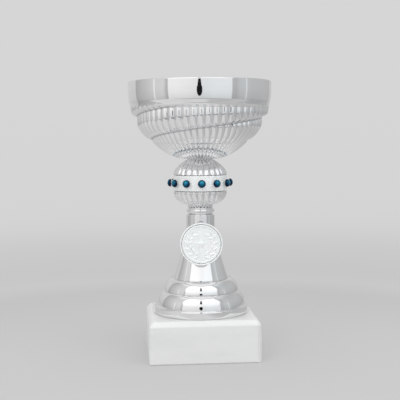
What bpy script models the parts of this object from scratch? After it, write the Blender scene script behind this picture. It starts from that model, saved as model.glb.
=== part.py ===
"""Sports trophy cup, metres, +Z up.

A reeded bowl stands on a ball with a belt of studs, a flared stem that carries a medal holder, a
stepped round foot and a square marble base. One tie rod with a nut at each end clamps the stack.
The origin is the middle of the base's underside, and the front of the cup faces -Y.
"""

import math

import bmesh
import bpy
from mathutils import Euler

MM = 0.001
GAP = 0.3 * MM
# The cup is clamped a little turned on its block, as in the photo
FRONT = math.radians(-93.2)

# Marble base
BASE_WIDTH = 70.0 * MM
BASE_HEIGHT = 26.6 * MM
BASE_CHAMFER = 3.4 * MM
COUNTERBORE_RADIUS = 8.5 * MM
COUNTERBORE_DEPTH = 12.0 * MM

# Tie rod and its M6 hardware
ROD_RADIUS = 3.0 * MM
BORE_RADIUS = 3.3 * MM
ROD_END_PROUD = 1.6 * MM
NUT_RADIUS = 5.77 * MM
NUT_HEIGHT = 5.0 * MM
WASHER_RADIUS = 6.2 * MM
WASHER_THICKNESS = 1.2 * MM
SPRING_WASHER_THICKNESS = 1.5 * MM

# Foot: flange and two rounded steps, each a piece of an ellipse
FOOT_BOTTOM = BASE_HEIGHT + GAP
FLANGE_RADIUS = 30.25 * MM
FLANGE_TOP = 31.4 * MM
LOWER_STEP_CENTRE = (20.0 * MM, 30.6 * MM)
LOWER_STEP_RADII = (8.7 * MM, 11.9 * MM)
UPPER_STEP_CENTRE = (16.2 * MM, 38.6 * MM)
UPPER_STEP_RADII = (8.4 * MM, 11.3 * MM)
STEP_GROOVE = (23.9 * MM, 40.9 * MM)
FOOT_TOP = 48.4 * MM
STEM_SEAT_RADIUS = 20.2 * MM

# Stem: a flared cone under a short cylinder
STEM_BOTTOM = FOOT_TOP + GAP
STEM_FLARE_TOP = 83.5 * MM
STEM_TOP = 90.0 * MM
STEM_NECK_RADIUS = 9.1 * MM
STEM_FLARE_POWER = 1.95

# Turned ring between the stem and the ball
COLLAR_BOTTOM = STEM_TOP + GAP
COLLAR_TOP = 94.75 * MM
COLLAR_RADIUS = 9.0 * MM
COLLAR_GROOVE_RADIUS = 7.9 * MM

# Ball: two reeded halves and a plain belt
BALL_REEDS = 24
BALL_REED_DEPTH = 1.05 * MM
LOWER_HALF_BOTTOM = COLLAR_TOP + GAP
LOWER_HALF_TOP = 105.2 * MM
LOWER_HALF_MIDDLE = 104.2 * MM
LOWER_HALF_RADIUS = 17.1 * MM
LOWER_HALF_HEIGHT = 9.9 * MM
BELT_BOTTOM = LOWER_HALF_TOP + GAP
BELT_TOP = 115.45 * MM
BELT_RADIUS = 17.45 * MM
BELT_EDGE_RADIUS = 17.0 * MM
UPPER_HALF_BOTTOM = BELT_TOP + GAP
UPPER_HALF_TOP = 125.75 * MM
UPPER_HALF_RADIUS = 17.3 * MM
UPPER_HALF_NECK_RADIUS = 7.85 * MM
UPPER_HALF_POWER = 1.95

# Studs round the belt: flattened beads, the belt a little turned on the stem
STUD_COUNT = 12
STUD_TURN = math.radians(1.6)
STUD_RADIUS = 2.5 * MM
STUD_HALF_THICKNESS = 1.9 * MM
STUD_CENTRE_RADIUS = 19.3 * MM
STUD_SHANK_RADIUS = 0.9 * MM
STUD_HOLE_RADIUS = 1.2 * MM
STUD_SHANK_END = 14.9 * MM
STUD_HOLE_END = 14.5 * MM

# Bowl: plain band at the rim, reeded wall with two rising ledges, plain rounded bottom
BOWL_BOTTOM = UPPER_HALF_TOP + GAP
BOWL_SHEET = 1.1 * MM
RIM_TOP = 175.1 * MM
RIM_RADIUS = 46.0 * MM
RIM_EDGE = 0.4 * MM
BAND_MIDDLE = 170.3 * MM
BAND_FOOT = 163.0 * MM
BAND_TUCK = 0.7 * MM
SHOULDER_MIDDLE = 161.3 * MM
WALL_TOP = 159.6 * MM
WALL_BOTTOM = 134.0 * MM
LEDGES_TOP = 157.6 * MM
LEDGES_BOTTOM = 136.6 * MM
WALL_CENTRE = 161.5 * MM
WALL_RADIUS = 44.6 * MM
WALL_HEIGHT = 34.45 * MM
FLAT_RADIUS = 11.0 * MM
BOWL_REEDS = 54
BOWL_REED_DEPTH = 0.95 * MM
LEDGE_STARTS = 2
LEDGE_LEAD = 30.0 * MM
LEDGE_PITCH = LEDGE_LEAD / LEDGE_STARTS
LEDGE_FRONT_FOOT = 145.2 * MM
LEDGE_DEPTH_HIGH = 3.4 * MM
LEDGE_DEPTH_LOW = 1.8 * MM
LEDGE_HIGH = 153.0 * MM
LEDGE_LOW = 137.3 * MM
LEDGE_SLOPE_SHARE = 0.2
LEDGE_HOLLOW_POWER = 0.7
LEDGE_ROW_SHARES = (0.0, 0.1, 0.2, 0.6)
ROW_CLEARANCE = 0.5 * MM

# Medal holder on the front of the stem
MEDAL_HEIGHT = 72.5 * MM
MEDAL_BACK = 15.7 * MM
HOLDER_RADIUS = 13.5 * MM
HOLDER_THICKNESS = 3.0 * MM
RECESS_RADIUS = 12.6 * MM
RECESS_DEPTH = 1.6 * MM
INSERT_RADIUS = 12.3 * MM
INSERT_THICKNESS = 1.0 * MM
BOSS_RADIUS = 5.5 * MM

# Facets: a reed has three columns, one of them in its groove
COLUMNS_PER_REED = 3
ROUND_STEPS = 36
SMALL_STEPS = 18

MATERIALS = {
    "silver_plate": ((0.80, 0.80, 0.81, 1.0), 1.0, 0.08),
    "marble": ((0.84, 0.85, 0.83, 1.0), 0.0, 0.35),
    "teal_stud": ((0.01, 0.12, 0.22, 1.0), 0.9, 0.12),
    "medal_relief": ((0.78, 0.79, 0.78, 1.0), 1.0, 0.32),
    "zinc_steel": ((0.62, 0.62, 0.60, 1.0), 1.0, 0.35),
}


def clear_scene():
    for obj in list(bpy.data.objects):
        bpy.data.objects.remove(obj, do_unlink=True)


def add_collection(name):
    collection = bpy.data.collections.new(name)
    bpy.context.scene.collection.children.link(collection)
    return collection


def add_material(node_name, kind):
    """Gives a piece its own Principled material of one of the kinds above."""
    colour, metallic, roughness = MATERIALS[kind]
    material = bpy.data.materials.new(f"{node_name}_{kind}")
    material.use_nodes = True
    shader = material.node_tree.nodes["Principled BSDF"]
    shader.inputs["Base Color"].default_value = colour
    shader.inputs["Metallic"].default_value = metallic
    shader.inputs["Roughness"].default_value = roughness
    return material


def add_object(name, mesh, kind):
    obj = bpy.data.objects.new(name, mesh)
    obj.data.materials.append(add_material(name, kind))
    PARTS.objects.link(obj)
    return obj


def finish_mesh(bm, name, sharp_angle=35):
    """Turns a closed bmesh into a smooth mesh whose faces point out."""
    bmesh.ops.recalc_face_normals(bm, faces=bm.faces)
    mesh = bpy.data.meshes.new(name)
    bm.to_mesh(mesh)
    bm.free()
    mesh.shade_smooth()
    mesh.set_sharp_from_angle(angle=math.radians(sharp_angle))
    return mesh


def smooth_step(value, low, high):
    share = min(max((value - low) / (high - low), 0.0), 1.0)
    return share * share * (3.0 - 2.0 * share)


# Turned pieces


def arc(centre, radii, start, end, steps):
    """Points on an ellipse in the (radius, height) plane, from one angle in degrees to another."""
    points = []
    for step in range(steps + 1):
        angle = math.radians(start + (end - start) * step / steps)
        points.append((centre[0] + radii[0] * math.cos(angle), centre[1] + radii[1] * math.sin(angle)))
    return points


def profile_object(name, profile, steps, closed):
    """A profile of (radius, height) points, down its outer side, turned about Z by a Screw."""
    mesh = bpy.data.meshes.new(name)
    last = len(profile)
    edges = [(index, (index + 1) % last) for index in range(last if closed else last - 1)]
    mesh.from_pydata([(radius, 0.0, height) for radius, height in profile], edges, [])
    obj = bpy.data.objects.new(name, mesh)
    screw = obj.modifiers.new("Turn", "SCREW")
    screw.steps = steps
    screw.render_steps = steps
    screw.use_merge_vertices = True
    screw.merge_threshold = 0.01 * MM
    return obj


def turned(name, profile, kind, steps=ROUND_STEPS, closed=True):
    obj = profile_object(name, profile, steps, closed)
    obj.data.materials.append(add_material(name, kind))
    PARTS.objects.link(obj)
    return obj


def cut(obj, cutter):
    """Takes a cutter away from a piece; the cutter stays as a hidden guide."""
    cutter.hide_render = True
    cutter.display_type = "WIRE"
    CUTTERS.objects.link(cutter)
    boolean = obj.modifiers.new(f"Cut {cutter.name}", "BOOLEAN")
    boolean.operation = "DIFFERENCE"
    boolean.object = cutter


def cylinder(name, radius, low, high, steps=SMALL_STEPS):
    """An upright cylinder object between two heights, linked to no collection."""
    bm = bmesh.new()
    bmesh.ops.create_cone(
        bm, cap_ends=True, segments=steps, radius1=radius, radius2=radius, depth=high - low
    )
    bmesh.ops.translate(bm, verts=bm.verts, vec=(0.0, 0.0, (low + high) / 2))
    return bpy.data.objects.new(name, finish_mesh(bm, name))


# Lofts between rings of unlike numbers of points


def ring(bm, columns, radius, height, phase=0.0):
    """Level ring of (angle, vertex); the radius is a length or a function of the angle."""
    run = []
    for column in range(columns):
        angle = FRONT + phase + math.tau * column / columns
        reach = radius(angle) if callable(radius) else radius
        vertex = bm.verts.new((reach * math.cos(angle), reach * math.sin(angle), height))
        run.append((angle, vertex))
    return run


def stitch(bm, first, second, tolerance):
    """Fills between two runs of (key, vertex): quads where the keys agree, else triangles."""
    i = 0
    j = 0
    while i < len(first) - 1 or j < len(second) - 1:
        first_middle = (first[i][0] + first[i + 1][0]) / 2 if i < len(first) - 1 else math.inf
        second_middle = (second[j][0] + second[j + 1][0]) / 2 if j < len(second) - 1 else math.inf
        corners = [first[i][1], second[j][1]]
        step_first = first_middle < second_middle + tolerance
        step_second = second_middle < first_middle + tolerance
        if step_second:
            j += 1
            corners.append(second[j][1])
        if step_first:
            i += 1
            corners.append(first[i][1])
        bm.faces.new(corners)


def join_rings(bm, first, second):
    first_closed = first + [(first[0][0] + math.tau, first[0][1])]
    second_closed = second + [(second[0][0] + math.tau, second[0][1])]
    stitch(bm, first_closed, second_closed, tolerance=1e-6)


def join_all(bm, rings, closed=False):
    """Lofts through a list of rings, and back to the first if the section is closed."""
    following = rings[1:] + rings[:1] if closed else rings[1:]
    for lower, upper in zip(rings, following):
        join_rings(bm, lower, upper)


def groove_share(angle, reeds):
    """1 in the groove between two reeds and 0 on a crest; one crest faces the front."""
    return 1.0 - abs(math.cos(reeds * (angle - FRONT) / 2))


# Base and tie rod


def make_base():
    """Stone block: full chamfers above, finer edges below and on one corner as it was cut."""
    bm = bmesh.new()
    bmesh.ops.create_cube(bm, size=1.0)
    bmesh.ops.scale(bm, verts=bm.verts, vec=(BASE_WIDTH, BASE_WIDTH, BASE_HEIGHT))
    bmesh.ops.translate(bm, verts=bm.verts, vec=(0.0, 0.0, BASE_HEIGHT / 2))
    weights = bm.edges.layers.float.new("bevel_weight_edge")
    for edge in bm.edges:
        middle = (edge.verts[0].co + edge.verts[1].co) / 2
        if middle.z > 0.9 * BASE_HEIGHT:
            edge[weights] = 1.0
        elif middle.z < 0.1 * BASE_HEIGHT:
            edge[weights] = 0.3
        else:
            edge[weights] = 0.35 if middle.x < 0 and middle.y < 0 else 0.95
    mesh = finish_mesh(bm, "marble_base")
    base = add_object("marble_base", mesh, "marble")
    bevel = base.modifiers.new("Chamfer", "BEVEL")
    bevel.limit_method = "WEIGHT"
    bevel.width = BASE_CHAMFER
    bevel.segments = 3
    bevel.profile = 0.35
    margin = 1.0 * MM
    cut(base, cylinder("rod_hole", BORE_RADIUS, -margin, BASE_HEIGHT + margin))
    cut(base, cylinder("counterbore", COUNTERBORE_RADIUS, -margin, COUNTERBORE_DEPTH, 28))


def washer(name, low, thickness):
    high = low + thickness
    edge = 0.2 * MM
    profile = [
        (BORE_RADIUS, high),
        (WASHER_RADIUS - edge, high),
        (WASHER_RADIUS, high - edge),
        (WASHER_RADIUS, low),
        (BORE_RADIUS, low),
    ]
    return turned(name, profile, "zinc_steel", steps=SMALL_STEPS)


def hex_nut(name, low):
    """Six-sided nut: hexagon rings outside, round rings in the bore."""
    bm = bmesh.new()
    high = low + NUT_HEIGHT
    rings = [
        ring(bm, 6, NUT_RADIUS, high),
        ring(bm, 6, NUT_RADIUS, low),
        ring(bm, SMALL_STEPS, BORE_RADIUS, low),
        ring(bm, SMALL_STEPS, BORE_RADIUS, high),
    ]
    join_all(bm, rings, closed=True)
    add_object(name, finish_mesh(bm, name), "zinc_steel")


def make_hardware():
    """Rod and nuts: under the counterbore's roof below, and on the bowl's floor above."""
    low_washer_bottom = COUNTERBORE_DEPTH - GAP - WASHER_THICKNESS
    washer("base_washer", low_washer_bottom, WASHER_THICKNESS)
    spring_bottom = low_washer_bottom - GAP - SPRING_WASHER_THICKNESS
    spring = washer("base_spring_washer", spring_bottom, SPRING_WASHER_THICKNESS)
    cut(spring, split_cutter(spring_bottom))
    low_nut_bottom = spring_bottom - GAP - NUT_HEIGHT
    hex_nut("base_nut", low_nut_bottom)

    floor = BOWL_BOTTOM + BOWL_SHEET
    washer("bowl_washer", floor + GAP, WASHER_THICKNESS)
    high_nut_bottom = floor + 2 * GAP + WASHER_THICKNESS
    hex_nut("bowl_nut", high_nut_bottom)

    rod_low = low_nut_bottom - ROD_END_PROUD
    rod_high = high_nut_bottom + NUT_HEIGHT + ROD_END_PROUD
    chamfer = 0.5 * MM
    profile = [
        (0.0, rod_high),
        (ROD_RADIUS - chamfer, rod_high),
        (ROD_RADIUS, rod_high - chamfer),
        (ROD_RADIUS, rod_low + chamfer),
        (ROD_RADIUS - chamfer, rod_low),
        (0.0, rod_low),
    ]
    turned("tie_rod", profile, "zinc_steel", steps=SMALL_STEPS, closed=False)


def split_cutter(low):
    """Narrow slanted block that splits the spring washer on one side."""
    bm = bmesh.new()
    bmesh.ops.create_cube(bm, size=1.0)
    bmesh.ops.scale(bm, verts=bm.verts, vec=(2 * WASHER_RADIUS, 0.8 * MM, 6 * MM))
    cutter = bpy.data.objects.new("washer_split", finish_mesh(bm, "washer_split"))
    cutter.location = (WASHER_RADIUS + 0.5 * MM, 0.0, low + SPRING_WASHER_THICKNESS / 2)
    cutter.rotation_euler = (math.radians(25), 0.0, 0.0)
    return cutter


# Foot, stem and collar


def make_foot():
    """Two rounded steps over a flange, solid round the rod's bore."""
    lip = 0.7 * MM
    lip_centre = (FLANGE_RADIUS - lip, FLANGE_TOP - lip)
    profile = [(BORE_RADIUS, FOOT_TOP)]
    profile += arc(UPPER_STEP_CENTRE, UPPER_STEP_RADII, 60, 13, 5)
    profile += [STEP_GROOVE]
    profile += arc(LOWER_STEP_CENTRE, LOWER_STEP_RADII, 55, 6, 5)
    profile += arc(lip_centre, (lip, lip), 100, 0, 2)
    profile += [(FLANGE_RADIUS, FOOT_BOTTOM + lip), (FLANGE_RADIUS - lip, FOOT_BOTTOM)]
    profile += [(BORE_RADIUS, FOOT_BOTTOM)]
    turned("foot", profile, "silver_plate", steps=36)


def stem_radius(height):
    """Neck radius at the top of the flare, opening by a power curve to the seat on the foot."""
    share = max((STEM_FLARE_TOP - height) / (STEM_FLARE_TOP - STEM_BOTTOM), 0.0)
    return STEM_NECK_RADIUS + (STEM_SEAT_RADIUS - STEM_NECK_RADIUS) * share**STEM_FLARE_POWER


def flare_heights(steps):
    span = STEM_FLARE_TOP - STEM_BOTTOM
    return [STEM_FLARE_TOP - span * step / steps for step in range(steps + 1)]


def make_stem():
    edge = 0.4 * MM
    profile = [(BORE_RADIUS, STEM_TOP), (STEM_NECK_RADIUS - edge, STEM_TOP)]
    profile += [(STEM_NECK_RADIUS, STEM_TOP - edge)]
    profile += [(stem_radius(height), height) for height in flare_heights(7)]
    profile += [(BORE_RADIUS, STEM_BOTTOM)]
    turned("stem", profile, "silver_plate", steps=32)


def make_collar():
    """Rounded ring between two narrow grooves."""
    groove = 0.7 * MM
    middle = (COLLAR_BOTTOM + COLLAR_TOP) / 2
    bulge = (COLLAR_TOP - COLLAR_BOTTOM) / 2 - groove
    reach = COLLAR_RADIUS - COLLAR_GROOVE_RADIUS
    profile = [(BORE_RADIUS, COLLAR_TOP), (COLLAR_GROOVE_RADIUS, COLLAR_TOP)]
    profile += arc((COLLAR_GROOVE_RADIUS, middle), (reach, bulge), 90, -90, 5)
    profile += [(COLLAR_GROOVE_RADIUS, COLLAR_BOTTOM), (BORE_RADIUS, COLLAR_BOTTOM)]
    turned("collar_ring", profile, "silver_plate", steps=28)


# Ball and studs


def lower_side(height):
    """Radius of the lower half on its reed crests: part of an ellipse."""
    share = (height - LOWER_HALF_MIDDLE) / LOWER_HALF_HEIGHT
    return LOWER_HALF_RADIUS * math.sqrt(1.0 - share * share)


def upper_side(height):
    """Radius of the upper half on its reed crests: round at the belt, drawn up to a narrow neck."""
    share = (height - UPPER_HALF_BOTTOM) / (UPPER_HALF_TOP - UPPER_HALF_BOTTOM)
    return UPPER_HALF_RADIUS - (UPPER_HALF_RADIUS - UPPER_HALF_NECK_RADIUS) * share**UPPER_HALF_POWER


def half_ball(name, side, widest, levels, tail):
    """Reeded half of the ball, flat on the belt and solid round the rod's bore.

    The side gives the radius at a height, the levels are heights along it, and the tail is the
    radius and height of its flat end. The reeds get shallower with the radius.
    """
    bm = bmesh.new()
    phase = math.pi / BALL_REEDS
    columns = BALL_REEDS * COLUMNS_PER_REED

    rings = []
    for index, level in enumerate(levels):
        crest = side(level)
        depth = BALL_REED_DEPTH * (0.5 if index == 0 else math.sqrt(crest / widest))

        def reach(angle, crest=crest, depth=depth):
            return crest - depth * groove_share(angle, BALL_REEDS)

        rings.append(ring(bm, columns, reach, level, phase))
    end_radius, end_height = tail
    rings.append(ring(bm, BALL_REEDS, end_radius, end_height, phase))
    rings.append(ring(bm, SMALL_STEPS, BORE_RADIUS, end_height))
    rings.append(ring(bm, SMALL_STEPS, BORE_RADIUS, levels[0]))
    join_all(bm, rings, closed=True)
    add_object(name, finish_mesh(bm, name, 60), "silver_plate")


def make_ball():
    """The lower half closes on the collar, and the upper half on the bowl's bottom."""
    lower_levels = [LOWER_HALF_TOP - step * MM for step in (0.0, 1.0, 3.0, 5.0, 6.9, 8.5)]
    half_ball(
        "ball_lower", lower_side, LOWER_HALF_RADIUS, lower_levels, (7.9 * MM, LOWER_HALF_BOTTOM)
    )
    upper_levels = [UPPER_HALF_BOTTOM + step * MM for step in (0.0, 1.0, 3.2, 5.4, 7.4, 9.3)]
    half_ball(
        "ball_upper", upper_side, UPPER_HALF_RADIUS, upper_levels,
        (UPPER_HALF_NECK_RADIUS - 0.25 * MM, UPPER_HALF_TOP),
    )


def make_belt():
    """Plain band with a barrel face, drilled for the stud shanks."""
    edge = 0.9 * MM
    middle = (BELT_BOTTOM + BELT_TOP) / 2
    profile = [
        (BORE_RADIUS, BELT_TOP),
        (BELT_EDGE_RADIUS, BELT_TOP),
        (BELT_RADIUS - 0.15 * MM, BELT_TOP - edge),
        (BELT_RADIUS, middle),
        (BELT_RADIUS - 0.15 * MM, BELT_BOTTOM + edge),
        (BELT_EDGE_RADIUS, BELT_BOTTOM),
        (BORE_RADIUS, BELT_BOTTOM),
    ]
    belt = turned("ball_belt", profile, "silver_plate", steps=36)
    cut(belt, stud_holes(middle))


def stud_angle(index):
    return FRONT + STUD_TURN + math.tau * index / STUD_COUNT


def stud_holes(height):
    """Twelve radial pins in one cutter, for blind holes in the belt."""
    bm = bmesh.new()
    near = STUD_HOLE_END
    far = BELT_RADIUS + 1 * MM
    for index in range(STUD_COUNT):
        angle = stud_angle(index)
        made = bmesh.ops.create_cone(
            bm, cap_ends=True, segments=8, radius1=STUD_HOLE_RADIUS, radius2=STUD_HOLE_RADIUS,
            depth=far - near,
        )
        bmesh.ops.translate(bm, verts=made["verts"], vec=(0.0, 0.0, (near + far) / 2))
        bmesh.ops.rotate(bm, verts=made["verts"], matrix=radial_matrix(angle))
        bmesh.ops.translate(bm, verts=made["verts"], vec=(0.0, 0.0, height))
    return bpy.data.objects.new("stud_holes", finish_mesh(bm, "stud_holes"))


def radial_matrix(angle):
    """Rotation that lays +Z along the outward direction at an angle."""
    return Euler((0.0, math.pi / 2, angle)).to_matrix()


def make_studs():
    """Round-headed studs: a flattened ball on the belt with a shank through it."""
    height = (BELT_BOTTOM + BELT_TOP) / 2
    seat = BELT_RADIUS + GAP
    cut_angle = math.degrees(math.asin((seat - STUD_CENTRE_RADIUS) / STUD_HALF_THICKNESS))
    profile = arc((0.0, STUD_CENTRE_RADIUS), (STUD_RADIUS, STUD_HALF_THICKNESS), 90, cut_angle, 5)
    profile[0] = (0.0, STUD_CENTRE_RADIUS + STUD_HALF_THICKNESS)
    profile += [(STUD_SHANK_RADIUS, seat), (STUD_SHANK_RADIUS, STUD_SHANK_END), (0.0, STUD_SHANK_END)]
    for index in range(STUD_COUNT):
        angle = stud_angle(index)
        stud = turned(f"stud_{index + 1:02d}", profile, "teal_stud", steps=10, closed=False)
        stud.location = (0.0, 0.0, height)
        stud.rotation_euler = (0.0, math.pi / 2, angle)


# Bowl


def wall_envelope(height):
    """Radius of the bowl's wall on its reed crests just above a ledge."""
    share = (WALL_CENTRE - height) / WALL_HEIGHT
    return WALL_RADIUS * math.sqrt(1.0 - share * share)


def ledge_depth(height):
    """How far a ledge stands out from the wall under it; the lower ledges are shallower."""
    share = min(max((height - LEDGE_LOW) / (LEDGE_HIGH - LEDGE_LOW), 0.0), 1.0)
    return LEDGE_DEPTH_LOW + (LEDGE_DEPTH_HIGH - LEDGE_DEPTH_LOW) * share


def ledge_share(height, angle):
    """0 on a ledge's crest, growing to 1 under the next ledge above, and back over its slope."""
    foot = LEDGE_FRONT_FOOT + LEDGE_LEAD * (angle - FRONT) / math.tau
    share = ((height - foot) / LEDGE_PITCH) % 1.0
    if share < LEDGE_SLOPE_SHARE:
        return 1.0 - smooth_step(share, 0.0, LEDGE_SLOPE_SHARE)
    return ((share - LEDGE_SLOPE_SHARE) / (1.0 - LEDGE_SLOPE_SHARE)) ** LEDGE_HOLLOW_POWER


def wall_radius(height, angle, inset):
    """Outer face of the wall, or its plain inner face where an inset is given."""
    fade = smooth_step(height, WALL_BOTTOM, LEDGES_BOTTOM)
    fade *= 1.0 - smooth_step(height, LEDGES_TOP, WALL_TOP)
    groove = groove_share(angle, BOWL_REEDS) if inset == 0 else 1.0
    drop = ledge_depth(height) * ledge_share(height, angle) + BOWL_REED_DEPTH * groove
    return wall_envelope(height) - fade * drop - inset


def wall_ring(bm, columns, height, inset):
    def reach(angle):
        return wall_radius(height, angle, inset)

    return ring(bm, columns, reach, height, math.pi / BOWL_REEDS)


def ledge_columns(bm, top, bottom, inset):
    """Columns of (key, vertex) from the bottom ring to the top ring.

    The key is the height less the ledges' climb, so that a row along a ledge keeps one key.
    """
    columns = []
    low = bottom[0][1].co.z
    high = top[0][1].co.z
    for (angle, low_vertex), (_, high_vertex) in zip(bottom, top):
        climb = LEDGE_LEAD * (angle - FRONT) / math.tau
        column = [(low - climb, low_vertex)]
        turn = math.floor((low - climb - LEDGE_FRONT_FOOT) / LEDGE_PITCH)
        while LEDGE_FRONT_FOOT + turn * LEDGE_PITCH + climb < high:
            for share in LEDGE_ROW_SHARES:
                height = LEDGE_FRONT_FOOT + (turn + share) * LEDGE_PITCH + climb
                if low + ROW_CLEARANCE < height < high - ROW_CLEARANCE:
                    reach = wall_radius(height, angle, inset)
                    place = (reach * math.cos(angle), reach * math.sin(angle), height)
                    column.append((height - climb, bm.verts.new(place)))
            turn += 1
        column.append((high - climb, high_vertex))
        columns.append(column)
    return columns


def join_ledges(bm, top, bottom, inset):
    """Fills the stepped part of the wall between two level rings."""
    columns = ledge_columns(bm, top, bottom, inset)
    last = [(key - LEDGE_LEAD, vertex) for key, vertex in columns[0]]
    for column, following in zip(columns, columns[1:] + [last]):
        stitch(bm, column, following, tolerance=0.2 * MM)


def band_radius(height):
    """Plain rim band, nearly upright, and under it the shoulder that runs in to the wall."""
    share = min(max((BAND_MIDDLE - height) / (BAND_MIDDLE - BAND_FOOT), 0.0), 1.0)
    radius = RIM_RADIUS - BAND_TUCK * share * share
    below = max((BAND_FOOT - height) / (BAND_FOOT - WALL_TOP), 0.0)
    return radius - (RIM_RADIUS - BAND_TUCK - wall_envelope(WALL_TOP)) * below * (1.25 - 0.25 * below)


def bottom_height(radius, flat, level, join_radius):
    """Bowl bottom: flat in the middle, rising by a parabola to the wall."""
    rise = (WALL_BOTTOM - level) / (join_radius - flat) ** 2
    return level + rise * (radius - flat) ** 2


def bottom_rings(bm, columns, flat, level, inset, shares):
    """Rings of the rounded bottom, from the wall down to the flat."""
    join_radius = wall_envelope(WALL_BOTTOM) - inset
    rings = []
    for share in shares:
        radius = flat + (join_radius - flat) * share
        height = bottom_height(radius, flat, level, join_radius)
        rings.append(ring(bm, columns, radius, height, math.pi / BOWL_REEDS))
    return rings


def make_bowl():
    """Closed section: down the outside, across the floor round the rod, and up the inside."""
    bm = bmesh.new()
    columns = BOWL_REEDS * COLUMNS_PER_REED
    phase = math.pi / BOWL_REEDS
    thickness = BOWL_SHEET
    fade_levels = (WALL_TOP, (WALL_TOP + LEDGES_TOP) / 2, LEDGES_TOP)
    foot_levels = (LEDGES_BOTTOM, (LEDGES_BOTTOM + WALL_BOTTOM) / 2, WALL_BOTTOM)

    band = [ring(bm, BOWL_REEDS, RIM_RADIUS, RIM_TOP - RIM_EDGE, phase)]
    for height in (BAND_MIDDLE, (BAND_MIDDLE + BAND_FOOT) / 2, BAND_FOOT, SHOULDER_MIDDLE):
        band.append(ring(bm, BOWL_REEDS, band_radius(height), height, phase))
    outer_top = [wall_ring(bm, columns, height, 0.0) for height in fade_levels]
    outer_low = [wall_ring(bm, columns, height, 0.0) for height in foot_levels]
    outer_floor = bottom_rings(
        bm, BOWL_REEDS, FLAT_RADIUS, BOWL_BOTTOM, 0.0, (0.82, 0.6, 0.38, 0.16, 0.0)
    )
    join_all(bm, band + outer_top)
    join_ledges(bm, outer_top[-1], outer_low[0], 0.0)
    bore_low = ring(bm, SMALL_STEPS, BORE_RADIUS, BOWL_BOTTOM)
    bore_high = ring(bm, SMALL_STEPS, BORE_RADIUS, BOWL_BOTTOM + thickness)
    floor = bottom_rings(
        bm, BOWL_REEDS, FLAT_RADIUS - thickness / 2, BOWL_BOTTOM + thickness, thickness,
        (0.0, 0.2, 0.45, 0.72),
    )
    inner_low = [wall_ring(bm, BOWL_REEDS, height, thickness) for height in reversed(foot_levels)]
    inner_top = [wall_ring(bm, BOWL_REEDS, height, thickness) for height in reversed(fade_levels)]
    join_all(bm, outer_low + outer_floor + [bore_low, bore_high] + floor + inner_low)
    join_ledges(bm, inner_top[0], inner_low[-1], thickness)
    inner_band = []
    for height in (SHOULDER_MIDDLE, BAND_FOOT, BAND_MIDDLE, RIM_TOP - RIM_EDGE):
        inner_band.append(ring(bm, BOWL_REEDS, band_radius(height) - thickness, height, phase))
    lip_inner = ring(bm, BOWL_REEDS, RIM_RADIUS - thickness + RIM_EDGE, RIM_TOP, phase)
    lip_outer = ring(bm, BOWL_REEDS, RIM_RADIUS - RIM_EDGE, RIM_TOP, phase)
    join_all(bm, inner_top + inner_band + [lip_inner, lip_outer, band[0]])
    add_object("bowl", finish_mesh(bm, "bowl", 50), "silver_plate")


# Medal holder


def face_front(obj, back):
    """Turns a piece made about +Z to face the front, with its back at a distance from the axis."""
    obj.rotation_euler = (math.pi / 2, 0.0, FRONT + math.pi / 2)
    obj.location = (back * math.cos(FRONT), back * math.sin(FRONT), MEDAL_HEIGHT)


def make_medal():
    lip = 0.35 * MM
    floor = HOLDER_THICKNESS - RECESS_DEPTH
    rim = [
        (0.0, floor),
        (RECESS_RADIUS, floor),
        (RECESS_RADIUS, HOLDER_THICKNESS - lip),
        (RECESS_RADIUS + lip, HOLDER_THICKNESS),
        (HOLDER_RADIUS - lip, HOLDER_THICKNESS),
        (HOLDER_RADIUS, HOLDER_THICKNESS - lip),
        (HOLDER_RADIUS, lip),
        (HOLDER_RADIUS - lip, 0.0),
        (0.0, 0.0),
    ]
    holder = turned("medal_holder", rim, "silver_plate", closed=False)
    face_front(holder, MEDAL_BACK)
    edge = 0.2 * MM
    disc = [
        (0.0, INSERT_THICKNESS),
        (INSERT_RADIUS - edge, INSERT_THICKNESS),
        (INSERT_RADIUS, INSERT_THICKNESS - edge),
        (INSERT_RADIUS, 0.0),
        (0.0, 0.0),
    ]
    insert = turned("medal_insert", disc, "medal_relief", closed=False)
    face_front(insert, MEDAL_BACK + floor + GAP)


def make_medal_bracket():
    """Round boss behind the holder, cut to the stem's flare."""
    depth = 10.0 * MM
    bm = bmesh.new()
    bmesh.ops.create_cone(
        bm, cap_ends=True, segments=SMALL_STEPS, radius1=BOSS_RADIUS, radius2=BOSS_RADIUS, depth=depth
    )
    bmesh.ops.translate(bm, verts=bm.verts, vec=(0.0, 0.0, -depth / 2))
    bracket = add_object("medal_bracket", finish_mesh(bm, "medal_bracket"), "silver_plate")
    face_front(bracket, MEDAL_BACK - GAP)
    heights = [STEM_TOP] + flare_heights(7)
    profile = [(0.0, STEM_TOP)] + [(stem_radius(height) + GAP, height) for height in heights]
    profile += [(0.0, STEM_BOTTOM)]
    cut(bracket, profile_object("stem_clearance", profile, 32, closed=False))


clear_scene()
PARTS = add_collection("sports_trophy_cup")
CUTTERS = add_collection("cutters")
make_base()
make_hardware()
make_foot()
make_stem()
make_collar()
make_ball()
make_belt()
make_studs()
make_bowl()
make_medal()
make_medal_bracket()
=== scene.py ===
"""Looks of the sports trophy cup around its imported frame: metres, +Z up, front towards -Y."""

import math

import bmesh
import bpy
from mathutils import Euler, Matrix, Vector


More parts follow.
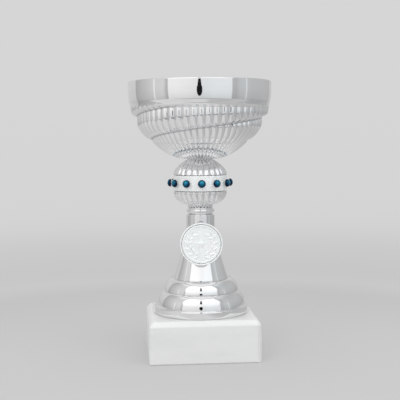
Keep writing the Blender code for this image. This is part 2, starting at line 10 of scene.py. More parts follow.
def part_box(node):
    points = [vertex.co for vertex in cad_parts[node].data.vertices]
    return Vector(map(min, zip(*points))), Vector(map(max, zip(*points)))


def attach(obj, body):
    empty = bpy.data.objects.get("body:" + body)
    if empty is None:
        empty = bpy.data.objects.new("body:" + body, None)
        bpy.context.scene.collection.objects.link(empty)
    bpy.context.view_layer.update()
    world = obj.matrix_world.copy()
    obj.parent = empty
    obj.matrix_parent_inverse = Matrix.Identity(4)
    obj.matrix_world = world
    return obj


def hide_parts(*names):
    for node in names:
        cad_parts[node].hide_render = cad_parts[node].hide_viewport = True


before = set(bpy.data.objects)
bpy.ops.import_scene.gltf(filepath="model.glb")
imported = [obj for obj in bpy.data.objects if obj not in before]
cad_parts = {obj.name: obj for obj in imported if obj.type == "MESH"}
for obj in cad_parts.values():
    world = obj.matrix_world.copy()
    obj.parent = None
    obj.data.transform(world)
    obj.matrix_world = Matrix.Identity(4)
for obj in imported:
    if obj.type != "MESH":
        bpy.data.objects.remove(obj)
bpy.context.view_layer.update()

MM = 0.001
FRONT = math.radians(-93.2)
TURNED_COLUMNS = 144
SCENE = bpy.context.scene


def heights(node):
    """Lowest and highest Z of a CAD node."""
    low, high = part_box(node)
    return low.z, high.z


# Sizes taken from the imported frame
BASE_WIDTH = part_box("marble_base")[1].x * 2
BASE_TOP = heights("marble_base")[1]
FOOT_TOP = heights("foot")[1]
FLANGE_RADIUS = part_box("foot")[1].x
STEM_BOTTOM, STEM_TOP = heights("stem")
COLLAR_BOTTOM, COLLAR_TOP = heights("collar_ring")
LOWER_HALF_BOTTOM, LOWER_HALF_TOP = heights("ball_lower")
BELT_BOTTOM, BELT_TOP = heights("ball_belt")
BELT_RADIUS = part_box("ball_belt")[1].x
UPPER_HALF_BOTTOM, UPPER_HALF_TOP = heights("ball_upper")
BOWL_BOTTOM, RIM_TOP = heights("bowl")
RIM_RADIUS = min(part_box("bowl")[1].x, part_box("bowl")[1].y)
MEDAL_HEIGHT = sum(heights("medal_holder")) / 2
BORE_RADIUS = 3.3 * MM
# A piece ends this far above what it stands on
SEAT = 0.05 * MM

# Stone block: its full chamfer, and the hole for the lower nut
BASE_CHAMFER = 3.4 * MM
COUNTERBORE_RADIUS = 8.5 * MM
COUNTERBORE_DEPTH = 12.0 * MM

# Curves of the foot and stem
FLANGE_LIP = 0.7 * MM
FLANGE_TOP = 31.4 * MM
LOWER_STEP_CENTRE = (20.0 * MM, 30.6 * MM)
LOWER_STEP_RADII = (8.7 * MM, 11.9 * MM)
UPPER_STEP_CENTRE = (16.2 * MM, 38.6 * MM)
UPPER_STEP_RADII = (8.4 * MM, 11.3 * MM)
STEP_GROOVE = (23.9 * MM, 40.9 * MM)
STEM_FLARE_TOP = 83.5 * MM
STEM_NECK_RADIUS = 9.1 * MM
STEM_SEAT_RADIUS = 17.6 * MM
STEM_FLARE_POWER = 1.4
STEM_STEPS = 60

# Collar: a ring between two grooves, and the painted shade in each groove
COLLAR_RADIUS = 9.0 * MM
COLLAR_GROOVE_RADIUS = 7.9 * MM
COLLAR_GROOVE = 0.7 * MM
COLLAR_TOP_SHADE = 0.4
COLLAR_FOOT_SHADE = 0.7

# Ball and studs
BALL_REEDS = 24
BALL_REED_DEPTH = 1.05 * MM
BALL_COLUMNS = BALL_REEDS * 14
LOWER_HALF_MIDDLE = 104.2 * MM
LOWER_HALF_RADIUS = 17.1 * MM
LOWER_HALF_HEIGHT = 9.9 * MM
LOWER_HALF_END_RADIUS = 7.9 * MM
# Painted shade in the reed grooves of the lower half
LOWER_HALF_SHADE = 0.45
UPPER_HALF_RADIUS = 17.3 * MM
UPPER_HALF_NECK_RADIUS = 7.85 * MM
UPPER_HALF_POWER = 1.95
# Painted shade in the reed grooves of the upper half
UPPER_HALF_SHADE = 0.6
BELT_END_RADIUS = 16.7 * MM
BELT_EDGE = 0.9 * MM
BELT_BULGE = 0.15 * MM
STUD_COUNT = 12
STUD_TURN = math.radians(1.6)
STUD_RADIUS = 2.5 * MM
STUD_HALF_THICKNESS = 1.9 * MM
STUD_CENTRE_RADIUS = 19.3 * MM
STUD_SHANK_RADIUS = 0.9 * MM
STUD_SHANK_DEPTH = 2.0 * MM

# Bowl
SHEET = 1.1 * MM
BAND_MIDDLE = 170.3 * MM
BAND_FOOT = 162.2 * MM
BAND_TUCK = 0.7 * MM
WALL_TOP = 159.6 * MM
WALL_BOTTOM = 135.4 * MM
LEDGES_TOP = 157.6 * MM
LEDGES_BOTTOM = 138.0 * MM
WALL_CENTRE = 161.5 * MM
WALL_RADIUS = 44.6 * MM
WALL_HEIGHT = 34.45 * MM
FLAT_RADIUS = 11.0 * MM
BOTTOM_POWER = 1.8
BOWL_REEDS = 54
BOWL_REED_DEPTH = 0.95 * MM
# How far from the flat the reeds run out, and the painted shade in their grooves
REED_RUNOUT = 2.0 * MM
BOWL_GROOVE_SHADE = 0.5
BOWL_COLUMNS = BOWL_REEDS * 8
LEDGE_LEAD = 30.0 * MM
LEDGE_PITCH = LEDGE_LEAD / 2
LEDGE_FRONT_FOOT = 145.2 * MM
# How far a ledge stands out, by height
LEDGE_DEPTHS = ((137.3 * MM, 1.8 * MM), (151.0 * MM, 3.3 * MM), (158.5 * MM, 2.2 * MM))
LEDGE_SLOPE_SHARE = 0.16
LEDGE_HOLLOW_POWER = 2.2
# Painted shade in the inner corner at a ledge's foot, and how far that reaches
LEDGE_CORNER_SHADE = 0.8
LEDGE_CORNER_SHARE = 0.075
WALL_ROW = 0.35 * MM

# Medal holder
MEDAL_BACK = 15.7 * MM
HOLDER_RADIUS = 13.5 * MM
HOLDER_THICKNESS = 3.0 * MM
RECESS_RADIUS = 12.6 * MM
RECESS_DEPTH = 1.6 * MM
INSERT_RADIUS = 12.3 * MM
INSERT_FIELD = 0.45 * MM
INSERT_GAP = 0.3 * MM
BOSS_RADIUS = 5.5 * MM

# Relief on the insert: pairs of leaves up each side, by degrees from the foot, round a star
WREATH_RADIUS = 8.0 * MM
WREATH_LEAVES = 6
WREATH_START = 12
WREATH_SPAN = 118
LEAF_LEANS = (-38, 32)
LEAF_LENGTH = 4.4 * MM
LEAF_WIDTH = 2.1 * MM
LEAF_RISE = 0.5 * MM
STAR_POINTS = 5
STAR_RADIUS = 4.8 * MM
STAR_HOLLOW = 2.1 * MM
STAR_RISE = 0.75 * MM

# Rod, nuts and washer
ROD_RADIUS = 3.0 * MM
THREAD_START = 0.4 * MM
THREAD_LENGTH = 11.0 * MM
THREAD_PITCH = 1.0 * MM
THREAD_DEPTH = 0.5 * MM
THREAD_STEP = 0.125 * MM
# Half the width over a nut's flats, and a reach just past where they meet
NUT_APOTHEM = 5.0 * MM
NUT_CORNER = 1.155 * NUT_APOTHEM
NUT_BEVEL = 0.55 * MM
NUT_BORE_RADIUS = 3.05 * MM
NUT_COLUMNS = 96
WASHER_RADIUS = 6.2 * MM

# Camera fitted to the photograph: focal length in pixels of a 400-pixel frame
FRAME_PIXELS = 400
FOCAL_PIXELS = 881.3
CAMERA_DISTANCE = 568.8 * MM
CAMERA_AZIMUTH = math.radians(-4.75)
CAMERA_HEIGHT = 139.3 * MM
CAMERA_PITCH = math.radians(4.04)
CAMERA_ROLL = math.radians(-0.42)
CAMERA_SHIFT = -0.19 * MM
# To the camera's right, and from the part back to the camera
ACROSS = Vector((math.cos(CAMERA_AZIMUTH), math.sin(CAMERA_AZIMUTH), 0.0))
BACK = Vector((math.sin(CAMERA_AZIMUTH), -math.cos(CAMERA_AZIMUTH), 0.0))

# Sockets of a Mix node that mixes colours
MIX_FACTOR = 0
MIX_FIRST = 6
MIX_SECOND = 7
MIX_RESULT = 2
# Most of a noise lies between these values
NOISE_LOW = 0.3
NOISE_HIGH = 0.7


# Materials


def new_material(name):
    """A node material with its output and Principled shader."""
    material = bpy.data.materials.new(name)
    material.use_nodes = True
    tree = material.node_tree
    return material, tree, tree.nodes["Principled BSDF"]


def add_node(tree, kind, **values):
    """A node with its properties and, by socket name, its inputs set."""
    node = tree.nodes.new(kind)
    for key, value in values.items():
        if key in node.inputs:
            node.inputs[key].default_value = value
        else:
            setattr(node, key, value)
    return node


def stretched_noise(tree, scale, stretch=(1, 1, 1), detail=3.0, distortion=0.0):
    """Noise in the part's own space; the scale is in features per metre."""
    place = add_node(tree, "ShaderNodeTexCoord")
    mapping = add_node(tree, "ShaderNodeMapping")
    mapping.inputs["Scale"].default_value = stretch
    noise = add_node(tree, "ShaderNodeTexNoise", Scale=scale, Detail=detail, Distortion=distortion)
    tree.links.new(place.outputs["Object"], mapping.inputs["Vector"])
    tree.links.new(mapping.outputs["Vector"], noise.inputs["Vector"])
    return noise.outputs["Fac"]


def ramp(tree, factor, stops):
    """Colour ramp over a factor from stops of (place, colour)."""
    node = add_node(tree, "ShaderNodeValToRGB")
    elements = node.color_ramp.elements
    while len(elements) < len(stops):
        elements.new(0.5)
    for element, (place, colour) in zip(elements, stops):
        element.position = place
        element.color = (*colour, 1.0)
    tree.links.new(factor, node.inputs["Fac"])
    return node.outputs["Color"]


def map_range(tree, value, start, end, low=0.0, high=1.0):
    """A value between start and end spread from low to high, and level beyond them."""
    node = add_node(tree, "ShaderNodeMapRange")
    for socket, number in (("From Min", start), ("From Max", end), ("To Min", low), ("To Max", high)):
        node.inputs[socket].default_value = number
    tree.links.new(value, node.inputs["Value"])
    return node.outputs["Result"]


def spread(tree, noise, low, high):
    """A noise spread from low to high."""
    return map_range(tree, noise, NOISE_LOW, NOISE_HIGH, low, high)


def multiplied(tree, first, second):
    """One colour times another."""
    mix = add_node(tree, "ShaderNodeMix", data_type="RGBA", blend_type="MULTIPLY")
    mix.inputs[MIX_FACTOR].default_value = 1.0
    tree.links.new(first, mix.inputs[MIX_FIRST])
    tree.links.new(second, mix.inputs[MIX_SECOND])
    return mix.outputs[MIX_RESULT]


def add_bump(tree, shader, factor, distance):
    bump = add_node(tree, "ShaderNodeBump", Strength=1.0, Distance=distance)
    tree.links.new(factor, bump.inputs["Height"])
    tree.links.new(bump.outputs["Normal"], shader.inputs["Normal"])


def plated_material():
    """Bright plating: faint cloudiness in tone and gloss over a slightly uneven face, with painted shade
    darkening its grooves and corners.
    """
    material, tree, shader = new_material("bright_plate")
    shader.inputs["Metallic"].default_value = 1.0
    cloud = stretched_noise(tree, 90.0, detail=2.0)
    clean = ramp(tree, cloud, [(0.35, (0.90, 0.90, 0.905)), (0.65, (0.93, 0.93, 0.93))])
    # Painted shade: the groove attribute darkens the plating in reed grooves, ledge corners and the
    # collar's grooves
    groove = add_node(tree, "ShaderNodeAttribute", attribute_name="groove")
    shades = [(0.0, (1, 1, 1)), (0.3, (0.96, 0.96, 0.965)), (1.0, (0.42, 0.42, 0.44))]
    shade = ramp(tree, groove.outputs["Fac"], shades)
    tree.links.new(multiplied(tree, clean, shade), shader.inputs["Base Color"])
    smear = stretched_noise(tree, 420.0, (1, 1, 2.5), detail=4.0)
    tree.links.new(spread(tree, smear, 0.02, 0.05), shader.inputs["Roughness"])
    add_bump(tree, shader, stretched_noise(tree, 160.0, detail=1.0), 0.004 * MM)
    return material


def marble_material():
    """Honed white marble: soft level bands of grey and a few fine veins."""
    material, tree, shader = new_material("white_marble")
    bands = stretched_noise(tree, 16.0, (1, 1, 4.5), detail=5.0, distortion=0.6)
    greys = [(0.28, (0.80, 0.815, 0.80)), (0.46, (0.845, 0.85, 0.84)), (0.72, (0.87, 0.87, 0.865))]
    vein = stretched_noise(tree, 30.0, (1, 0.8, 2.2), detail=6.0, distortion=2.2)
    line = [(0.48, (1, 1, 1)), (0.5, (0.975, 0.98, 0.975)), (0.52, (1, 1, 1))]
    colour = multiplied(tree, ramp(tree, bands, greys), ramp(tree, vein, line))
    tree.links.new(colour, shader.inputs["Base Color"])
    grain = stretched_noise(tree, 900.0, detail=3.0)
    tree.links.new(spread(tree, grain, 0.34, 0.46), shader.inputs["Roughness"])
    add_bump(tree, shader, grain, 0.03 * MM)
    shader.inputs["Subsurface Weight"].default_value = 0.12
    shader.inputs["Subsurface Radius"].default_value = (1.0, 0.95, 0.9)
    shader.inputs["Subsurface Scale"].default_value = 1.5 * MM
    return material


def stud_material():
    """Teal metallic lacquer with painted light: a painted highlight on the crown and upper side, painted
    shade at the sides and underneath, bare on the shank.
    """
    material, tree, shader = new_material("teal_lacquer")
    place = add_node(tree, "ShaderNodeTexCoord")
    split = add_node(tree, "ShaderNodeSeparateXYZ")
    tree.links.new(place.outputs["Object"], split.inputs["Vector"])
    out, down = split.outputs["Z"], split.outputs["X"]
    top = STUD_CENTRE_RADIUS + STUD_HALF_THICKNESS
    # Painted light: the teal brightens outwards to the crown and upwards as a painted highlight, and
    # darkens at the sides and underneath as painted shade
    both = add_node(tree, "ShaderNodeMath", operation="ADD")
    tree.links.new(map_range(tree, out, STUD_CENTRE_RADIUS, top, 0.0, 0.75), both.inputs[0])
    tree.links.new(map_range(tree, down, STUD_RADIUS, -STUD_RADIUS, -0.3, 0.3), both.inputs[1])
    painted_light_teals = [(0.2, (0.003, 0.012, 0.04)), (0.45, (0.005, 0.06, 0.14))]
    painted_light_teals += [(0.7, (0.012, 0.20, 0.34)), (0.95, (0.09, 0.50, 0.62))]
    coat_low, coat_high = STUD_CENTRE_RADIUS - 0.7 * MM, STUD_CENTRE_RADIUS - 0.3 * MM
    coated = add_node(tree, "ShaderNodeMix", data_type="RGBA")
    coated.inputs[MIX_FIRST].default_value = (0.80, 0.82, 0.84, 1.0)
    tree.links.new(map_range(tree, out, coat_low, coat_high), coated.inputs[MIX_FACTOR])
    tree.links.new(ramp(tree, both.outputs["Value"], painted_light_teals), coated.inputs[MIX_SECOND])
    flake = stretched_noise(tree, 2600.0, detail=1.0)
    glint = ramp(tree, flake, [(0.35, (0.85, 0.85, 0.85)), (0.7, (1.0, 1.0, 1.0))])
    colour = multiplied(tree, coated.outputs[MIX_RESULT], glint)
    tree.links.new(colour, shader.inputs["Base Color"])
    tree.links.new(spread(tree, flake, 0.08, 0.16), shader.inputs["Roughness"])
    shader.inputs["Metallic"].default_value = 1.0
    shader.inputs["Coat Weight"].default_value = 0.15
    shader.inputs["Coat Roughness"].default_value = 0.03
    return material


def grained_material(name, metallic, cloud, tones, grain, roughness, bump):
    """Tone that wanders between two, and a grain that roughens and lifts; noises are (scale, z, detail)."""
    material, tree, shader = new_material(name)
    shader.inputs["Metallic"].default_value = metallic
    wander = stretched_noise(tree, cloud[0], (1, 1, cloud[1]), cloud[2])
    colour = ramp(tree, wander, [(0.35, tones[0]), (0.65, tones[1])])
    tree.links.new(colour, shader.inputs["Base Color"])
    fine = stretched_noise(tree, grain[0], (1, 1, grain[1]), grain[2])
    tree.links.new(spread(tree, fine, *roughness), shader.inputs["Roughness"])
    add_bump(tree, shader, fine, bump)
    return material


def foil_material():
    """Embossed pearly foil with a satin grain."""
    tones = ((0.92, 0.96, 0.965), (0.985, 0.99, 0.99))
    cloud, grain = (200.0, 1, 2.0), (1800.0, 1, 2.0)
    return grained_material("embossed_foil", 0.1, cloud, tones, grain, (0.22, 0.34), 0.006 * MM)


def satin_material():
    """Frosted silver of the belt and the medal holder: it scatters the light that it takes."""
    tones = ((0.95, 0.96, 0.965), (0.98, 0.985, 0.985))
    cloud, grain = (300.0, 1, 2.0), (1600.0, 1, 2.0)
    return grained_material("satin_plate", 0.1, cloud, tones, grain, (0.24, 0.32), 0.003 * MM)


def zinc_material():
    """Zinc-plated steel: cloudy bluish-grey with fine turning marks."""
    tones = ((0.50, 0.51, 0.53), (0.66, 0.66, 0.64))
    cloud, marks = (500.0, 1, 4.0), (1500.0, 12, 2.0)
    return grained_material("zinc_plating", 1.0, cloud, tones, marks, (0.28, 0.42), 0.02 * MM)


# Meshes


def skin(bm, first, second, closed=True):
    """Faces between two rows of vertices; closed rows come round on themselves."""
    for column in range(len(first) if closed else len(first) - 1):
        after = (column + 1) % len(first)
        bm.faces.new((first[column], second[column], second[after], first[after]))


def loft(bm, rows, ends):
    """Skin through rows of points that close on themselves; the ends join, have caps or stay open.

    A fourth number of a point says how much painted shade darkens the surface there, from 0 to 1.
    """
    groove = bm.verts.layers.float.get("groove") or bm.verts.layers.float.new("groove")
    grid = []
    for row in rows:
        line = [bm.verts.new(point[:3]) for point in row]
        for vertex, point in zip(line, row):
            vertex[groove] = point[3] if len(point) > 3 else 0.0
        grid.append(line)
    for first, second in zip(grid, grid[1:]):
        skin(bm, first, second)
    if ends == "join":
        skin(bm, grid[-1], grid[0])
    if ends == "cap":
        bm.faces.new(grid[0])
        bm.faces.new(reversed(grid[-1]))


def turn(profile, columns=TURNED_COLUMNS):
    """Rows of points: a profile of (radius, height) or (radius, height, painted shade) turned about Z."""
    angles = [math.tau * column / columns for column in range(columns)]
    return [[(r * math.cos(a), r * math.sin(a), z, *painted_shade) for a in angles] for r, z, *painted_shade in profile]


def plain_mesh(bm, name):
    mesh = bpy.data.meshes.new(name)
    bm.to_mesh(mesh)
    bm.free()
    return mesh


def finish_mesh(bm, name, sharp_angle=40):
    """Smooth mesh whose faces point out, with creases where they meet at more than an angle."""
    bmesh.ops.recalc_face_normals(bm, faces=bm.faces)
    mesh = plain_mesh(bm, name)
    mesh.shade_smooth()
    mesh.set_sharp_from_angle(angle=math.radians(sharp_angle))
    return mesh


def lofted_mesh(name, rows, ends="join", sharp_angle=40):
    bm = bmesh.new()
    loft(bm, rows, ends)
    return finish_mesh(bm, name, sharp_angle)


def add_piece(name, mesh, material, slot, *nodes, matrix=None):
    """Puts a piece in place of CAD nodes, on the part's one body."""
    piece = bpy.data.objects.new(name, mesh)
    SCENE.collection.objects.link(piece)
    if not mesh.materials:
        mesh.materials.append(material)
    if matrix is not None:
        piece.matrix_world = matrix
    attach(piece, "root")
    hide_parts(*nodes)
    return piece


def arc(centre, radii, start, end, steps):
    """Points on an ellipse in the (radius, height) plane, from one angle in degrees to another."""
    points = []
    for step in range(steps + 1):
        angle = math.radians(start + (end - start) * step / steps)
        points.append((centre[0] + radii[0] * math.cos(angle), centre[1] + radii[1] * math.sin(angle)))
    return points


def smooth_step(value, low, high):
    share = min(max((value - low) / (high - low), 0.0), 1.0)
    return share * share * (3.0 - 2.0 * share)


def between(stops, place):
    """Value at a place on a line through stops of (place, value), level beyond its ends."""
    if place <= stops[0][0]:
        return stops[0][1]
    for (start, first), (end, second) in zip(stops, stops[1:]):
        if place <= end:
            return first + (second - first) * (place - start) / (end - start)
    return stops[-1][1]


def groove_share(angle, reeds):
    """1 in the groove between two reeds and 0 on a crest; one crest faces the front."""
    return 1.0 - abs(math.cos(reeds * (angle - FRONT) / 2))


def groove_painted_shade(share):
    """Painted shade: the bottom of a groove is darker than its sides."""
    return smooth_step(share, 0.35, 1.0)


def round_row(columns, place):
    """Ring of points from the front round; place gives radius, height and painted shade at an angle."""
    row = []
    for column in range(columns):
        angle = FRONT + math.tau * column / columns
        reach, height, painted_shade = place(angle)
        row.append((reach * math.cos(angle), reach * math.sin(angle), height, painted_shade))
    return row


def turned_place(place, angles):
    """Matrix of a place and the angles that a piece is turned by there."""
    return Matrix.Translation(place) @ Euler(angles).to_matrix().to_4x4()


def front_matrix(back):
    """Place on the front of the stem for a piece made about +Z."""
    place = (back * math.cos(FRONT), back * math.sin(FRONT), MEDAL_HEIGHT)
    return turned_place(place, (math.pi / 2, 0.0, FRONT + math.pi / 2))


# Base


def cut_hole(block, name, radius, top):
    """Upright hole in a block from its underside up to a height."""
    outline = [(radius, top), (radius, -MM)]
    cutter = bpy.data.objects.new(name, lofted_mesh(name, turn(outline, 64), "cap"))
    SCENE.collection.objects.link(cutter)
    cutter.hide_render = True
    cutter.hide_viewport = True
    boolean = block.modifiers.new(name, "BOOLEAN")
    boolean.object = cutter


def make_base(marble):
    """Stone block with ground chamfers, finer at the foot and on one corner."""
    bm = bmesh.new()
    bmesh.ops.create_cube(bm, size=1.0)
    bmesh.ops.scale(bm, verts=bm.verts, vec=(BASE_WIDTH, BASE_WIDTH, BASE_TOP))
    bmesh.ops.translate(bm, verts=bm.verts, vec=(0.0, 0.0, BASE_TOP / 2))
    weights = bm.edges.layers.float.new("bevel_weight_edge")
    for edge in bm.edges:
        centre = (edge.verts[0].co + edge.verts[1].co) / 2
        if centre.z > 0.9 * BASE_TOP:
            edge[weights] = 1.0
        elif centre.z < 0.1 * BASE_TOP:
            edge[weights] = 0.3
        else:
            edge[weights] = 0.35 if centre.x < 0 and centre.y < 0 else 0.95
    block = add_piece("marble_block", finish_mesh(bm, "marble_block"), marble, "marble", "marble_base")
    bevel = block.modifiers.new("Chamfer", "BEVEL")
    bevel.limit_method = "WEIGHT"
    bevel.width = BASE_CHAMFER
    bevel.segments = 8
    bevel.profile = 0.35
    bevel.harden_normals = True
    cut_hole(block, "rod_hole", BORE_RADIUS, BASE_TOP + MM)
    cut_hole(block, "counterbore", COUNTERBORE_RADIUS, COUNTERBORE_DEPTH)


# Turned pieces


def make_foot(plate):
    """Two rounded steps over a flange with a rounded lip."""
    bottom = BASE_TOP + SEAT
    lip_radii = (FLANGE_LIP, FLANGE_LIP)
    lip_centre = FLANGE_RADIUS - FLANGE_LIP
    profile = [(BORE_RADIUS, FOOT_TOP)]
    profile += arc(UPPER_STEP_CENTRE, UPPER_STEP_RADII, 60, 13, 24)
    profile += [STEP_GROOVE]
    profile += arc(LOWER_STEP_CENTRE, LOWER_STEP_RADII, 55, 6, 28)
    profile += arc((lip_centre, FLANGE_TOP - FLANGE_LIP), lip_radii, 100, 0, 8)
    profile += arc((lip_centre, bottom + FLANGE_LIP), lip_radii, 0, -90, 6)
    profile += [(BORE_RADIUS, bottom)]
    add_piece("stepped_foot", lofted_mesh("stepped_foot", turn(profile)), plate, "silver_plate", "foot")


def stem_radius(height):
    """Neck radius at the top of the flare, opening by a power curve to the seat on the foot."""
    share = max((STEM_FLARE_TOP - height) / (STEM_FLARE_TOP - STEM_BOTTOM), 0.0)
    return STEM_NECK_RADIUS + (STEM_SEAT_RADIUS - STEM_NECK_RADIUS) * share**STEM_FLARE_POWER


def make_stem(plate):
    """Short cylinder over a flare; rows near its ends keep the cylinder's shading straight."""
    edge = 0.4 * MM
    profile = [(BORE_RADIUS, STEM_TOP)]
    profile += arc((STEM_NECK_RADIUS - edge, STEM_TOP - edge), (edge, edge), 90, 0, 5)
    for height in (STEM_TOP - edge - 0.1 * MM, STEM_FLARE_TOP + 0.2 * MM):
        profile.append((STEM_NECK_RADIUS, height))
    for step in range(STEM_STEPS + 1):
        height = STEM_FLARE_TOP - (STEM_FLARE_TOP - STEM_BOTTOM) * step / STEM_STEPS
        profile.append((stem_radius(height), height))
    profile += [(STEM_SEAT_RADIUS, FOOT_TOP + SEAT), (BORE_RADIUS, FOOT_TOP + SEAT)]
    add_piece("flared_stem", lofted_mesh("flared_stem", turn(profile)), plate, "silver_plate", "stem")


def make_collar(plate):
    """Rounded ring between two narrow grooves."""
    bottom = STEM_TOP + SEAT
    centre = (COLLAR_BOTTOM + COLLAR_TOP) / 2
    bulge = (COLLAR_TOP - COLLAR_BOTTOM) / 2 - COLLAR_GROOVE
    reach = COLLAR_RADIUS - COLLAR_GROOVE_RADIUS
    # Painted shade in the grooves at the collar's top and foot
    profile = [(BORE_RADIUS, COLLAR_TOP), (COLLAR_GROOVE_RADIUS, COLLAR_TOP, COLLAR_TOP_SHADE)]
    profile += arc((COLLAR_GROOVE_RADIUS, centre), (reach, bulge), 90, -90, 20)
    profile += [(COLLAR_GROOVE_RADIUS, bottom, COLLAR_FOOT_SHADE), (BORE_RADIUS, bottom)]
    add_piece("collar", lofted_mesh("collar", turn(profile)), plate, "silver_plate", "collar_ring")


# Ball


def reeded_row(radius, height, depth=0.0, painted_shade=0.0):
    """Level ring with the ball's reeds at a depth, and the painted shade in their grooves."""

    def place(angle):
        share = groove_share(angle, BALL_REEDS)
        return radius - depth * share, height, painted_shade * groove_painted_shade(share)

    return round_row(BALL_COLUMNS, place)


def lower_side(height):
    """Radius of the lower half on its reed crests: part of an ellipse."""
    share = (height - LOWER_HALF_MIDDLE) / LOWER_HALF_HEIGHT
    return LOWER_HALF_RADIUS * math.sqrt(1.0 - share * share)


def upper_side(height):
    """Radius of the upper half on its reed crests: round at the belt, drawn up to a narrow neck."""
    share = (height - UPPER_HALF_BOTTOM) / (UPPER_HALF_TOP - UPPER_HALF_BOTTOM)
    return UPPER_HALF_RADIUS - (UPPER_HALF_RADIUS - UPPER_HALF_NECK_RADIUS) * share**UPPER_HALF_POWER


def half_ball(name, side, edge, last, tail, painted_shade):
    """Reeded half of the ball from its open edge to the last row of its reeds and a plain tail.

    The reeds are shallower at the open edge, and get shallower again with the radius.
    """
    steps = 44
    widest = side(edge)
    rows = [reeded_row(BORE_RADIUS, edge)]
    for step in range(steps + 1):
        height = edge + (last - edge) * math.sin(math.pi / 2 * step / steps)
        crest = side(height)
        settle = smooth_step(abs(height - edge), -0.8 * MM, 1.0 * MM)
        depth = BALL_REED_DEPTH * (crest / widest) ** 0.3 * settle
        rows.append(reeded_row(crest, height, depth, painted_shade))
    rows += [reeded_row(*tail), reeded_row(BORE_RADIUS, tail[1])]
    return lofted_mesh(name, rows, sharp_angle=60)


def make_ball(plate):
    last = LOWER_HALF_BOTTOM + 0.7 * MM
    tail = (LOWER_HALF_END_RADIUS, COLLAR_TOP + SEAT)
    mesh = half_ball("ball_underside", lower_side, LOWER_HALF_TOP, last, tail, LOWER_HALF_SHADE)
    add_piece("ball_underside", mesh, plate, "silver_plate", "ball_lower")

    last = UPPER_HALF_TOP - 0.1 * MM
    tail = (UPPER_HALF_NECK_RADIUS - 0.25 * MM, BOWL_BOTTOM - SEAT)
    mesh = half_ball("ball_crown", upper_side, UPPER_HALF_BOTTOM, last, tail, UPPER_HALF_SHADE)
    add_piece("ball_crown", mesh, plate, "silver_plate", "ball_upper")


def make_belt(satin):
    """Plain band with a barrel face and rounded edges."""
    steps = 20
    crown = BELT_RADIUS - BELT_BULGE
    radii = (crown - BELT_END_RADIUS, BELT_EDGE)
    profile = [(BORE_RADIUS, BELT_TOP)]
    profile += arc((BELT_END_RADIUS, BELT_TOP - BELT_EDGE), radii, 90, 0, 10)
    for step in range(1, steps):
        height = BELT_TOP - BELT_EDGE + (BELT_BOTTOM - BELT_TOP + 2 * BELT_EDGE) * step / steps
        share = 2 * step / steps - 1
        profile.append((BELT_RADIUS - BELT_BULGE * share * share, height))
    profile += arc((BELT_END_RADIUS, BELT_BOTTOM + BELT_EDGE), radii, 0, -90, 10)
    profile += [(BORE_RADIUS, BELT_BOTTOM)]
    add_piece("stud_belt", lofted_mesh("stud_belt", turn(profile)), satin, "silver_plate", "ball_belt")


def make_studs(lacquer):
    """Flattened beads with short shanks in the belt; they share one mesh."""
    height = (BELT_BOTTOM + BELT_TOP) / 2
    shank_angle = -math.degrees(math.acos(STUD_SHANK_RADIUS / STUD_RADIUS))
    profile = arc((0.0, STUD_CENTRE_RADIUS), (STUD_RADIUS, STUD_HALF_THICKNESS), 88, shank_angle, 22)
    profile += [(STUD_SHANK_RADIUS, BELT_RADIUS - STUD_SHANK_DEPTH)]
    mesh = lofted_mesh("stud_head", turn(profile, 48), "cap")
    for index in range(STUD_COUNT):
        angle = FRONT + STUD_TURN + math.tau * index / STUD_COUNT
        place = turned_place((0.0, 0.0, height), (0.0, math.pi / 2, angle))
        number = f"{index + 1:02d}"
        add_piece(f"stud_head_{number}", mesh, lacquer, "teal_stud", f"stud_{number}", matrix=place)


# Bowl


def wall_envelope(height):
    """Radius of the wall on its ledges' crests: part of an ellipse."""
    share = (WALL_CENTRE - height) / WALL_HEIGHT
    return WALL_RADIUS * math.sqrt(1.0 - share * share)


def ledge_place(height, angle):
    """Place between two ledges: 0 at the foot of the lower one and 1 at that of the upper."""
    foot = LEDGE_FRONT_FOOT + LEDGE_LEAD * (angle - FRONT) / math.tau
    return ((height - foot) / LEDGE_PITCH) % 1.0


def ledge_share(place):
    """0 on a ledge's crest, growing up to the foot of the next ledge, and back over its slope."""
    if place < LEDGE_SLOPE_SHARE:
        return 1.0 - smooth_step(place, 0.0, LEDGE_SLOPE_SHARE)
    return ((place - LEDGE_SLOPE_SHARE) / (1.0 - LEDGE_SLOPE_SHARE)) ** LEDGE_HOLLOW_POWER


def wall_fades(height):
    """How far the reeds and the ledges have faded in: the reeds fade out only at the top."""
    top = 1.0 - smooth_step(height, LEDGES_TOP, WALL_TOP)
    return top, top * smooth_step(height, WALL_BOTTOM, LEDGES_BOTTOM)


def wall_painted_shade(height, angle):
    """Painted shade in the reeds' grooves and in the ledges' inner corners."""
    reeds, ledges = wall_fades(height)
    place = ledge_place(height, angle)
    # Painted shade in the inner corner at each ledge's foot and in each reed groove
    corner = 1.0 - smooth_step(min(place, 1.0 - place), 0.0, LEDGE_CORNER_SHARE)
    groove = groove_painted_shade(groove_share(angle, BOWL_REEDS))
    return max(BOWL_GROOVE_SHADE * reeds * groove, LEDGE_CORNER_SHADE * ledges * corner)


def wall_radius(height, angle, reeds=True):
    """Outer face of the wall, reeded and stepped."""
    reeds_fade, ledges_fade = wall_fades(height)
    drop = ledges_fade * between(LEDGE_DEPTHS, height) * ledge_share(ledge_place(height, angle))
    if reeds:
        drop += reeds_fade * BOWL_REED_DEPTH * groove_share(angle, BOWL_REEDS)
    return wall_envelope(height) - drop


def band_radius(height):
    """Nearly upright band whose foot turns in through a shoulder to the wall."""
    share = min(max((BAND_MIDDLE - height) / (BAND_MIDDLE - BAND_FOOT), 0.0), 1.0)
    radius = RIM_RADIUS - BAND_TUCK * share * share
    below = max((BAND_FOOT - height) / (BAND_FOOT - WALL_TOP), 0.0)
    return radius - (RIM_RADIUS - BAND_TUCK - wall_envelope(WALL_TOP)) * below * (1.25 - 0.25 * below)


